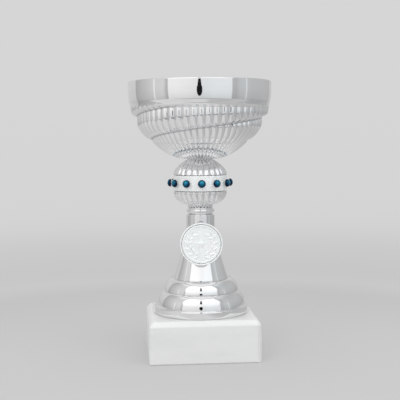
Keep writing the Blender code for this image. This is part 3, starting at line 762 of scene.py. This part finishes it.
def plain_row(radius, height):
    """Level ring of the bowl without reeds or ledges."""
    return round_row(BOWL_COLUMNS, lambda angle: (radius, height, 0.0))


def wall_row(height, inset):
    """Level ring of the wall; the inside has the ledges but neither reeds nor painted shade in grooves."""

    def place(angle):
        if inset:
            return wall_radius(height, angle, reeds=False) - inset, height, 0.0
        return wall_radius(height, angle), height, wall_painted_shade(height, angle)

    return round_row(BOWL_COLUMNS, place)


def wall_rows(inset):
    """Reeded and stepped wall from the band down to the rounded bottom."""
    count = round((WALL_TOP - WALL_BOTTOM) / WALL_ROW)
    span = WALL_BOTTOM - WALL_TOP
    return [wall_row(WALL_TOP + span * index / count, inset) for index in range(count + 1)]


def band_rows(inset):
    """Plain band from just under the lip down to the wall."""
    steps = 40
    top = RIM_TOP - SHEET / 2
    rows = []
    for step in range(steps):
        height = top + (WALL_TOP - top) * step / steps
        rows.append(plain_row(band_radius(height) - inset, height))
    return rows


def bottom_row(radius, height, slope, depth):
    """Ring on the rounded bottom; its reeds are cut square to the surface."""

    def place(angle):
        share = groove_share(angle, BOWL_REEDS)
        drop = depth * share
        # Painted shade in the reed grooves of the bottom
        painted_shade = BOWL_GROOVE_SHADE * groove_painted_shade(share) if depth else 0.0
        return radius - drop * math.sin(slope), height + drop * math.cos(slope), painted_shade

    return round_row(BOWL_COLUMNS, place)


def bottom_rows(flat, level, inset):
    """Rounded bottom from the wall in to the flat round the rod, where the outside's reeds run out."""
    steps = 40
    join = wall_envelope(WALL_BOTTOM) - inset
    rise = (WALL_BOTTOM - level) / (join - flat) ** BOTTOM_POWER
    rows = []
    for step in range(1, steps + 1):
        radius = join + (flat - join) * step / steps
        height = level + rise * (radius - flat) ** BOTTOM_POWER
        slope = math.atan(BOTTOM_POWER * rise * (radius - flat) ** (BOTTOM_POWER - 1))
        fade = smooth_step(radius, FLAT_RADIUS, FLAT_RADIUS + REED_RUNOUT)
        depth = 0.0 if inset else BOWL_REED_DEPTH * fade
        rows.append(bottom_row(radius, height, slope, depth))
    return rows


def make_bowl(plate):
    """Thin shell: round lip, down the outside, across the floor, and up the inside."""
    lip = SHEET / 2
    lip_points = arc((RIM_RADIUS - lip, RIM_TOP - lip), (lip, lip), 180, 0, 12)
    rows = [plain_row(radius, height) for radius, height in lip_points[1:-1]]
    rows += band_rows(0.0) + wall_rows(0.0) + bottom_rows(FLAT_RADIUS, BOWL_BOTTOM, 0.0)
    rows.append(plain_row(BORE_RADIUS, BOWL_BOTTOM))
    rows.append(plain_row(BORE_RADIUS, BOWL_BOTTOM + SHEET))
    rows += reversed(bottom_rows(FLAT_RADIUS - SHEET / 2, BOWL_BOTTOM + SHEET, SHEET))
    rows += reversed(wall_rows(SHEET))
    rows += reversed(band_rows(SHEET))
    mesh = lofted_mesh("reeded_bowl", rows, sharp_angle=60)
    add_piece("reeded_bowl", mesh, plate, "silver_plate", "bowl")


# Medal holder


def make_holder(plate, satin):
    """Round holder with a raised lip, and the boss that carries it off the stem."""
    place = front_matrix(MEDAL_BACK)
    pole = 0.2 * MM
    lip = (HOLDER_RADIUS - RECESS_RADIUS) / 2
    floor = HOLDER_THICKNESS - RECESS_DEPTH
    profile = [(pole, floor), (RECESS_RADIUS, floor)]
    profile += arc((RECESS_RADIUS + lip, HOLDER_THICKNESS - lip), (lip, lip), 180, 0, 16)
    profile += arc((HOLDER_RADIUS - lip, lip), (lip, lip), 0, -90, 6)
    profile += [(pole, 0.0)]
    mesh = lofted_mesh("holder_ring", turn(profile), "cap")
    add_piece("holder_ring", mesh, satin, "silver_plate", "medal_holder", matrix=place)

    boss = [(BOSS_RADIUS, 0.0), (BOSS_RADIUS, STEM_NECK_RADIUS - MEDAL_BACK)]
    mesh = lofted_mesh("holder_boss", turn(boss, 64), "cap")
    add_piece("holder_boss", mesh, plate, "silver_plate", "medal_bracket", matrix=place)


def leaf_rows(root, heading, floor):
    """Rings along a pointed leaf that stands a little proud, with a ridge along its middle."""
    steps = 8
    along = Vector((math.cos(heading), math.sin(heading), 0.0))
    across = Vector((-along.y, along.x, 0.0))
    section = ((-1.0, -0.2), (-0.6, 0.45), (0.0, 1.0), (0.6, 0.45), (1.0, -0.2), (0.0, -0.4))
    rows = []
    for step in range(steps + 1):
        share = 0.02 + 0.96 * step / steps
        swell = math.sin(math.pi * share) ** 0.8
        spine = Vector((*root, floor)) + along * (LEAF_LENGTH * share)
        row = []
        for side, rise in section:
            lift = Vector((0.0, 0.0, rise * LEAF_RISE * swell))
            row.append(spine + across * (side * LEAF_WIDTH / 2 * swell) + lift)
        rows.append(row)
    return rows


def add_star(bm, floor):
    """Faceted star: its outline on the field, one apex in the middle."""
    ring = []
    for index in range(2 * STAR_POINTS):
        reach = STAR_RADIUS if index % 2 == 0 else STAR_HOLLOW
        angle = math.pi / 2 + math.pi * index / STAR_POINTS
        ring.append(bm.verts.new((reach * math.cos(angle), reach * math.sin(angle), floor)))
    apex = bm.verts.new((0.0, 0.0, floor + STAR_RISE))
    for index, vertex in enumerate(ring):
        bm.faces.new((vertex, ring[(index + 1) % len(ring)], apex))
    bm.faces.new(reversed(ring))


def make_insert(foil):
    """Embossed disc with a rounded border, of a plain design: a laurel wreath round a star."""
    bm = bmesh.new()
    pole = 0.1 * MM
    edge = 0.25 * MM
    border = INSERT_RADIUS - 0.8 * MM
    border_radii = (0.7 * MM, 0.35 * MM)
    profile = [(pole, INSERT_FIELD), (border - border_radii[0], INSERT_FIELD)]
    profile += arc((border, INSERT_FIELD), border_radii, 180, 0, 10)
    profile += [(INSERT_RADIUS, INSERT_FIELD - edge), (INSERT_RADIUS, 0.0), (pole, 0.0)]
    loft(bm, turn(profile, 96), "cap")
    floor = INSERT_FIELD - 0.05 * MM
    for side in (-1, 1):
        for index in range(WREATH_LEAVES):
            degrees = WREATH_START + WREATH_SPAN * index / (WREATH_LEAVES - 1)
            around = -math.pi / 2 + side * math.radians(degrees)
            root = (WREATH_RADIUS * math.cos(around), WREATH_RADIUS * math.sin(around))
            forward = around + side * math.pi / 2
            for lean in LEAF_LEANS:
                loft(bm, leaf_rows(root, forward - side * math.radians(lean), floor), "cap")
    add_star(bm, floor)
    mesh = finish_mesh(bm, "medal_disc", 30)
    back = MEDAL_BACK + HOLDER_THICKNESS - RECESS_DEPTH + INSERT_GAP
    add_piece("medal_disc", mesh, foil, "medal_relief", "medal_insert", matrix=front_matrix(back))


# Rod and nuts


def rod_row(height, radius, depth=0.0):
    """Level ring of the rod with a thread of some depth, which turns with the height."""
    columns = 32
    row = []
    for column in range(columns):
        angle = math.tau * column / columns
        share = (height / THREAD_PITCH - column / columns) % 1.0
        reach = radius - depth * abs(2 * share - 1)
        row.append((reach * math.cos(angle), reach * math.sin(angle), height))
    return row


def make_rod(zinc):
    """Steel rod with a cut thread at each end."""
    low, high = heights("tie_rod")
    core = ROD_RADIUS - THREAD_DEPTH
    count = round(THREAD_LENGTH / THREAD_STEP)
    depths = [THREAD_START + index * THREAD_STEP for index in range(count)]
    rows = [rod_row(high, core)]
    rows += [rod_row(high - depth, ROD_RADIUS, THREAD_DEPTH) for depth in depths]
    rows += [rod_row(low + depth, ROD_RADIUS, THREAD_DEPTH) for depth in reversed(depths)]
    rows.append(rod_row(low, core))
    mesh = lofted_mesh("threaded_rod", rows, "cap", 60)
    add_piece("threaded_rod", mesh, zinc, "zinc_steel", "tie_rod")


def nut_row(height, inset):
    """Level ring of six flats, its corners turned off by an inset."""
    row = []
    for column in range(NUT_COLUMNS):
        angle = math.tau * column / NUT_COLUMNS
        side = angle % (math.pi / 3) - math.pi / 6
        reach = min(NUT_APOTHEM / math.cos(side), NUT_CORNER - inset)
        row.append((reach * math.sin(angle), reach * math.cos(angle), height))
    return row


def make_nut(name, node, zinc):
    """Six-sided nut whose corners are turned off by a cone at both faces."""
    low, high = heights(node)
    cone = ((0.0, 2.2 * NUT_BEVEL), (NUT_BEVEL / 2, NUT_BEVEL), (NUT_BEVEL, 0.0))
    rows = [nut_row(high - depth, inset) for depth, inset in cone]
    rows += [nut_row(low + depth, inset) for depth, inset in reversed(cone)]
    hole = turn([(NUT_BORE_RADIUS, low), (NUT_BORE_RADIUS, high)], NUT_COLUMNS)
    rows += [[(y, x, z) for x, y, z in level] for level in hole]
    add_piece(name, lofted_mesh(name, rows, sharp_angle=25), zinc, "zinc_steel", node)


def make_washer(zinc):
    low, high = heights("bowl_washer")
    edge = 0.3 * MM
    profile = [(BORE_RADIUS, high)]
    profile += arc((WASHER_RADIUS - edge, high - edge), (edge, edge), 90, 0, 5)
    profile += [(WASHER_RADIUS, low), (BORE_RADIUS, low)]
    mesh = lofted_mesh("plain_washer", turn(profile, 64))
    add_piece("plain_washer", mesh, zinc, "zinc_steel", "bowl_washer")


def dress_cad_nodes(zinc):
    """The washers in the counterbore keep their CAD shape and get the zinc finish."""
    for name in ("base_washer", "base_spring_washer"):
        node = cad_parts[name]
        node.data.materials.clear()
        node.data.materials.append(zinc)


# Stage: floor and cove, the room that the plating reflects, and soft lights


# Brightness of the room round the part, by degrees from the camera to its left (-) and right (+):
# a bright panel on each side of the camera, then the dimmer walls and the backdrop
ROOM_TONES = (
    (-180, 0.62), (-119, 0.62), (-117, 0.41), (-100, 0.50), (-87, 0.57), (-78, 0.62), (-75, 0.64),
    (-72, 0.65), (-65, 0.65), (-58, 0.68), (-52, 0.58), (-49.5, 0.52), (-48.3, 0.98), (-20, 0.96),
    (-6, 0.90), (-2, 0.90), (2, 0.86), (20, 0.91), (50, 0.91), (52, 0.53), (57, 0.46), (64, 0.54),
    (72, 0.56), (78.5, 0.54), (90, 0.50), (136, 0.48), (138, 0.43), (140, 0.43), (143, 0.54), (180, 0.62),
)
PANEL_EDGE = 54.0
# How the panels and the walls brighten with height, as (metres, share of the tone)
PANEL_RISE = (
    (-0.35, 0.50), (-0.12, 0.50), (-0.11, 0.40), (-0.05, 0.40), (-0.04, 0.70), (0.03, 0.79),
    (0.073, 0.84), (0.13, 0.88), (0.2, 0.90), (0.26, 0.97), (0.31, 1.08), (0.42, 1.16),
    (0.7, 1.35), (1.25, 1.5),
)
WALL_RISE = (
    (-0.35, 0.78), (0.0, 0.82), (0.06, 0.92), (0.15, 1.0), (0.30, 1.06), (0.5, 1.02),
    (0.75, 1.0), (0.95, 1.25), (1.25, 1.5),
)
# How many degrees the panels reach further round, by height
PANEL_SPREAD = ((0.3, 0.0), (0.48, 5.0), (0.63, 5.0), (0.8, 0.0))
# Light stands as (degrees, tone), how many degrees they reach to each side, and their heights
LIGHT_STANDS = ((-73.5, 0.85), (77.0, 0.74))
STAND_REACH = 1.3
STAND_LOW = -0.08
STAND_HIGH = 0.32
# How much less red and more blue the room's cool light has
COOL_RED = 0.03
COOL_BLUE = 0.015
ROOM_RADIUS = 0.72
ROOM_COLUMNS = 720
ROOM_HEIGHTS = (
    -0.35, -0.12, -0.11, -0.05, -0.04, 0.0, 0.03, 0.06, 0.1, 0.13, 0.2, 0.26, 0.31, 0.33, 0.42,
    0.48, 0.55, 0.63, 0.7, 0.9, 1.25,
)
CEILING_RADIUS = 0.66
CEILING_HEIGHT = 1.3
CEILING_COLOUR = (0.88, 0.875, 0.89)

# The sheet of paper that the plating reflects: half its width, its reach in front and behind, and
# its tone by metres from the middle to the right
SHEET_HALF_WIDTH = 0.44
SHEET_FRONT = 0.40
SHEET_BACK = 0.60
SHEET_STEP = 0.01
SHEET_TONES = (
    (-0.50, 0.62), (-0.20, 0.58), (-0.10, 0.57), (-0.04, 0.69), (0.04, 0.69), (0.10, 0.52),
    (0.20, 0.49), (0.50, 0.56),
)

# Right halves of two dark outlines at the camera in millimetres (half-width, height): the camera
# on its stand, and the gap over it
CAMERA_OUTLINE = (
    (14, 50), (23, 62), (31, 78), (38, 100), (42, 130), (41, 160), (36, 188), (26, 204), (10, 212),
)
GAP_OUTLINE = ((6, 350), (26, 368), (32, 400), (29, 480), (22, 570), (13, 690), (4, 860))
CARD_DISTANCE = 0.56
CARD_COLOUR = (0.012, 0.012, 0.014)
LIGHT_AIM = 60 * MM

# The paper's glow, painted light that brightens towards the wall, and how much light it scatters, by
# distance from the part in metres
PAPER_GLOW = (
    (0.0, 0.225), (0.12, 0.225), (0.24, 0.21), (0.36, 0.295), (0.52, 0.45), (0.70, 0.62),
    (0.84, 0.645), (1.1, 0.66), (1.6, 0.675),
)
PAPER_LIT = ((0.0, 0.36), (0.3, 0.36), (0.7, 0.0))
PAPER_REACH = 2.0
PAPER_FLAT = 0.95
PAPER_COVE = 0.5
PAPER_TOP = 3.0


def room_colour(azimuth, height):
    """The room's light in one direction; its right side is a little cool."""
    front = smooth_step(abs(azimuth), 2.0, 40.0) * (1.0 - smooth_step(abs(azimuth), 90.0, 170.0))
    azimuth -= math.copysign(between(PANEL_SPREAD, height) * front, azimuth)
    rise = between(PANEL_RISE if abs(azimuth) < PANEL_EDGE else WALL_RISE, height)
    tone = between(ROOM_TONES, azimuth) * rise
    for place, stand_tone in LIGHT_STANDS:
        if abs(azimuth - place) < STAND_REACH and STAND_LOW < height < STAND_HIGH:
            tone = stand_tone * rise
    cool = smooth_step(azimuth, 0.0, 4.0) * (1.0 - smooth_step(azimuth, 90.0, 140.0))
    return (tone * (1.0 - COOL_RED * cool), tone, tone * (1.0 + COOL_BLUE * cool), 1.0)


def light_material(name):
    """Material that only gives light, with its node tree and its shader for the colour."""
    material, tree, _ = new_material(name)
    tree.nodes.clear()
    glow = add_node(tree, "ShaderNodeEmission")
    out = add_node(tree, "ShaderNodeOutputMaterial")
    tree.links.new(glow.outputs["Emission"], out.inputs["Surface"])
    return material, tree, glow


def toned_light():
    """Light of the colour held at each point of the mesh."""
    material, tree, glow = light_material("studio_light")
    tone = add_node(tree, "ShaderNodeAttribute", attribute_name="tone")
    tree.links.new(tone.outputs["Color"], glow.inputs["Color"])
    return material


def even_light(name, colour):
    """Light of one colour."""
    material, _, glow = light_material(name)
    glow.inputs["Color"].default_value = (*colour, 1.0)
    return material


def add_stage(name, mesh, material):
    """A studio piece that lights and is reflected, and that the camera doesn't see."""
    piece = bpy.data.objects.new(name, mesh)
    mesh.materials.append(material)
    SCENE.collection.objects.link(piece)
    piece.visible_camera = False
    return piece


def add_toned(name, rows, closed=True):
    """Lit stage piece through rows of (place, colour)."""
    bm = bmesh.new()
    tone = bm.verts.layers.float_color.new("tone")
    grid = []
    for row in rows:
        line = []
        for place, colour in row:
            vertex = bm.verts.new(place)
            vertex[tone] = colour
            line.append(vertex)
        grid.append(line)
    for first, second in zip(grid, grid[1:]):
        skin(bm, first, second, closed)
    return add_stage(name, plain_mesh(bm, name), toned_light())


def make_room():
    """Upright ring round the part that carries the room's brightness."""
    rows = []
    for height in ROOM_HEIGHTS:
        row = []
        for column in range(ROOM_COLUMNS):
            azimuth = 360.0 * column / ROOM_COLUMNS - 180.0
            angle = CAMERA_AZIMUTH + math.radians(azimuth)
            place = (ROOM_RADIUS * math.sin(angle), -ROOM_RADIUS * math.cos(angle), height)
            row.append((place, room_colour(azimuth, height)))
        rows.append(row)
    add_toned("room", rows)


def sheet_tone(x, y):
    """The sheet's light: brighter in its front corners and in front on the left, with a painted shadow at
    the block.
    """
    corners = smooth_step(-y, 0.25, 0.5) * smooth_step(abs(x), 0.1, 0.3)
    left = smooth_step(-x, 0.03, 0.12) * smooth_step(-y, -0.08, 0.12)
    tone = between(SHEET_TONES, x) + 0.13 * corners + 0.10 * left
    # Painted shadow of the block: the glow is dimmer under the block and within 35 millimetres of it
    out = max(abs(x), abs(y)) - BASE_WIDTH / 2
    return tone * (1.0 - 0.14 * (1.0 - smooth_step(out, 0.0, 0.035)))


def make_sheet():
    """Sheet of paper under the part, as the plating reflects it."""
    turned = Matrix.Rotation(CAMERA_AZIMUTH, 3, "Z")
    across = round(2 * SHEET_HALF_WIDTH / SHEET_STEP)
    along = round((SHEET_FRONT + SHEET_BACK) / SHEET_STEP)
    rows = []
    for index in range(along + 1):
        y = index * SHEET_STEP - SHEET_FRONT
        row = []
        for column in range(across + 1):
            x = column * SHEET_STEP - SHEET_HALF_WIDTH
            tone = sheet_tone(x, y)
            row.append((turned @ Vector((x, y, SEAT)), (tone, tone, tone, 1.0)))
        rows.append(row)
    sheet = add_toned("reflected_sheet", rows, closed=False)
    sheet.visible_diffuse = False
    sheet.visible_shadow = False


def upright_card(name, half, material):
    """Flat card at the camera, facing the part, from the right half of its outline."""
    right = [(x * MM, z * MM) for x, z in half]
    outline = right + [(-x, z) for x, z in reversed(right)]
    bm = bmesh.new()
    corners = [BACK * CARD_DISTANCE + ACROSS * x + Vector((0.0, 0.0, z)) for x, z in outline]
    bm.faces.new([bm.verts.new(corner) for corner in corners])
    add_stage(name, plain_mesh(bm, name), material)


def make_ceiling():
    bm = bmesh.new()
    bmesh.ops.create_circle(bm, cap_ends=True, segments=48, radius=CEILING_RADIUS)
    bmesh.ops.translate(bm, verts=bm.verts, vec=(0.0, 0.0, CEILING_HEIGHT))
    add_stage("ceiling", plain_mesh(bm, "ceiling"), even_light("ceiling", CEILING_COLOUR))


def make_reflections():
    """What the plating shows: the room, the sheet, two dark cards at the camera, and the ceiling."""
    make_room()
    make_sheet()
    dark = even_light("dark_gap", CARD_COLOUR)
    upright_card("camera_body", CAMERA_OUTLINE, dark)
    upright_card("panel_gap", GAP_OUTLINE, dark)
    make_ceiling()


def soft_light(name, azimuth, reach, height, size, power):
    """Square light that faces the part; the plating doesn't show it."""
    lamp = bpy.data.lights.new(name, "AREA")
    lamp.size = size
    lamp.energy = power
    rig = bpy.data.objects.new(name, lamp)
    SCENE.collection.objects.link(rig)
    angle = CAMERA_AZIMUTH + math.radians(azimuth)
    place = Vector((reach * math.sin(angle), -reach * math.cos(angle), height))
    aim = Vector((0.0, 0.0, LIGHT_AIM)) - place
    rig.matrix_world = Matrix.Translation(place) @ aim.to_track_quat("-Z", "Y").to_matrix().to_4x4()
    rig.visible_camera = False
    rig.visible_glossy = False


def make_lights():
    soft_light("soft_above", azimuth=0, reach=0.01, height=1.15, size=0.9, power=2.4)
    soft_light("soft_left", azimuth=-28, reach=0.64, height=0.45, size=0.45, power=0.8)
    soft_light("soft_right", azimuth=55, reach=0.64, height=0.45, size=0.45, power=0.8)


def paper_material():
    """Pale grey paper: partly a glow of painted light, partly lit, so that it keeps the part's shadow."""
    material = bpy.data.materials.new("studio_paper")
    material.use_nodes = True
    tree = material.node_tree
    tree.nodes.clear()
    place = add_node(tree, "ShaderNodeNewGeometry")
    reach = add_node(tree, "ShaderNodeVectorMath", operation="LENGTH")
    tree.links.new(place.outputs["Position"], reach.inputs[0])

    def by_reach(stops):
        span = map_range(tree, reach.outputs["Value"], 0.0, PAPER_REACH)
        return ramp(tree, span, [(r / PAPER_REACH, (v, v, v)) for r, v in stops])

    glow = add_node(tree, "ShaderNodeEmission")
    tree.links.new(by_reach(PAPER_GLOW), glow.inputs["Color"])
    lit = add_node(tree, "ShaderNodeBsdfDiffuse")
    tree.links.new(by_reach(PAPER_LIT), lit.inputs["Color"])
    both = add_node(tree, "ShaderNodeAddShader")
    out = add_node(tree, "ShaderNodeOutputMaterial")
    tree.links.new(glow.outputs["Emission"], both.inputs[0])
    tree.links.new(lit.outputs["BSDF"], both.inputs[1])
    tree.links.new(both.outputs["Shader"], out.inputs["Surface"])
    return material


def make_paper():
    """Floor that sweeps up to a wall all round the part; the plating shows the sheet instead."""
    profile = [(0.01, 0.0), (0.1, 0.0), (0.3, 0.0), (0.6, 0.0)]
    cove = arc((PAPER_FLAT, 0.0), (PAPER_COVE, PAPER_COVE), -90, 0, 16)
    profile += [(radius, height + PAPER_COVE) for radius, height in cove]
    profile += [(PAPER_FLAT + PAPER_COVE, PAPER_TOP)]
    bm = bmesh.new()
    loft(bm, turn(profile, 96), "open")
    bm.faces.new([vertex for vertex in bm.verts if vertex.co.xy.length < 0.02])
    mesh = plain_mesh(bm, "studio_paper")
    mesh.shade_smooth()
    mesh.materials.append(paper_material())
    paper = bpy.data.objects.new("studio_paper", mesh)
    SCENE.collection.objects.link(paper)
    paper.visible_glossy = False


def make_world():
    """Even grey room light."""
    world = bpy.data.worlds.new("studio")
    world.use_nodes = True
    background = world.node_tree.nodes["Background"]
    background.inputs["Color"].default_value = (0.46, 0.46, 0.465, 1.0)
    SCENE.world = world


def make_camera():
    camera = bpy.data.cameras.new("camera")
    camera.sensor_width = 36.0
    camera.lens = FOCAL_PIXELS * camera.sensor_width / FRAME_PIXELS
    rig = bpy.data.objects.new("camera", camera)
    SCENE.collection.objects.link(rig)
    place = BACK * CAMERA_DISTANCE + ACROSS * CAMERA_SHIFT + Vector((0.0, 0.0, CAMERA_HEIGHT))
    look = Euler((math.pi / 2 - CAMERA_PITCH, 0.0, CAMERA_AZIMUTH)).to_matrix()
    roll = Matrix.Rotation(CAMERA_ROLL, 3, "Z")
    rig.matrix_world = Matrix.Translation(place) @ (look @ roll).to_4x4()
    SCENE.camera = rig


plate = plated_material()
make_base(marble_material())
make_foot(plate)
make_stem(plate)
make_collar(plate)
make_ball(plate)
satin = satin_material()
make_belt(satin)
make_studs(stud_material())
make_bowl(plate)
make_holder(plate, satin)
make_insert(foil_material())
zinc = zinc_material()
make_rod(zinc)
make_nut("top_nut", "bowl_nut", zinc)
make_nut("bottom_nut", "base_nut", zinc)
make_washer(zinc)
dress_cad_nodes(zinc)
make_reflections()
make_lights()
make_paper()
make_world()
make_camera()
SCENE.view_settings.view_transform = "Standard"
